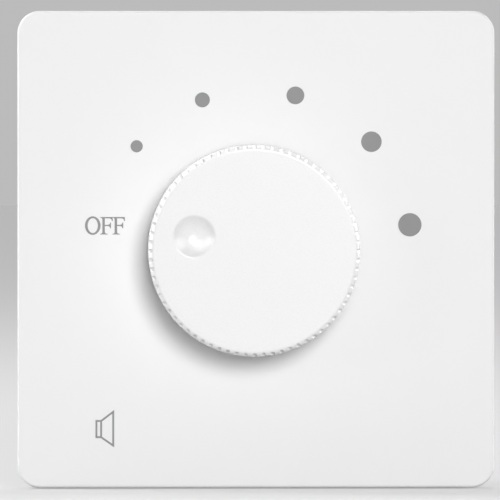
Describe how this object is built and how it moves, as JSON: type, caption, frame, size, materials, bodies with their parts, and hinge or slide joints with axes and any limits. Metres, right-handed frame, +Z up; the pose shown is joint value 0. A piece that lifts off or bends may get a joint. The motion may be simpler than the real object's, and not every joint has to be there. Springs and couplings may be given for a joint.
{
  "type": "wall volume control",
  "caption": "Square wall plate volume control with a fluted rotary knob, a stepped switch with OFF position, a tapped line transformer and screw terminals on a board behind a wall box frame.",
  "frame": {"origin": "middle of the two wall box screw slots, in the plane of the wall", "axes": "+Z up, +X to the right as seen from the room, +Y into the wall, so the face looks along -Y"},
  "size_m": [0.086, 0.064, 0.086],
  "materials": {
    "plate_white": "white moulded plastic with a satin face",
    "ink_grey": "matt grey printing ink",
    "knob_white": "white moulded plastic, satin",
    "frame_plastic": "light grey moulded plastic",
    "spring_steel": "bare spring steel",
    "zinc_steel": "zinc plated steel",
    "shaft_steel": "turned nickel plated steel",
    "die_cast": "die-cast zinc",
    "switch_black": "black moulded plastic",
    "phenolic": "brown paper laminate",
    "acetal": "natural acetal",
    "contact_brass": "silvered contact brass",
    "board_green": "glass laminate with green solder mask",
    "core_iron": "varnished stacked laminations",
    "bobbin_black": "black glass-filled plastic",
    "winding_tape": "copper winding under yellow tape",
    "tinned_pin": "tinned wire",
    "terminal_green": "green moulded plastic",
    "terminal_brass": "plain brass"
  },
  "bodies": {
    "wall_unit": {"front_plate": "plate_white", "scale_dots": "ink_grey", "mounting_frame": "frame_plastic", "lock_washer": "zinc_steel", "bushing_nut": "zinc_steel", "switch_bushing": "die_cast", "switch_housing": "switch_black", "switch_base": "phenolic", "switch_rivets": "zinc_steel", "detent_spring": "spring_steel", "contact_pins": "contact_brass", "common_contact": "contact_brass", "circuit_board": "board_green", "board_screws": "zinc_steel", "transformer_core": "core_iron", "transformer_bobbin": "bobbin_black", "transformer_winding": "winding_tape", "transformer_clamp": "zinc_steel", "transformer_pins": "tinned_pin", "terminal_block": "terminal_green", "terminal_clamps": "terminal_brass", "terminal_screws": "zinc_steel", "terminal_pins": "tinned_pin"},
    "turning_knob": {"knob": "knob_white", "knob_clip": "spring_steel", "switch_shaft": "shaft_steel", "shaft_clip": "spring_steel", "detent_wheel": "acetal", "rotor": "switch_black", "wiper": "contact_brass"}
  },
  "joints": [
    {"name": "knob_turn", "type": "hinge", "parent": "wall_unit", "child": "turning_knob", "pos_m": [-0.0005, -0.008, 0], "axis": [0, 1, 0], "range_deg": [0, 157.5], "deforming": ["detent_spring"]}
  ]
}
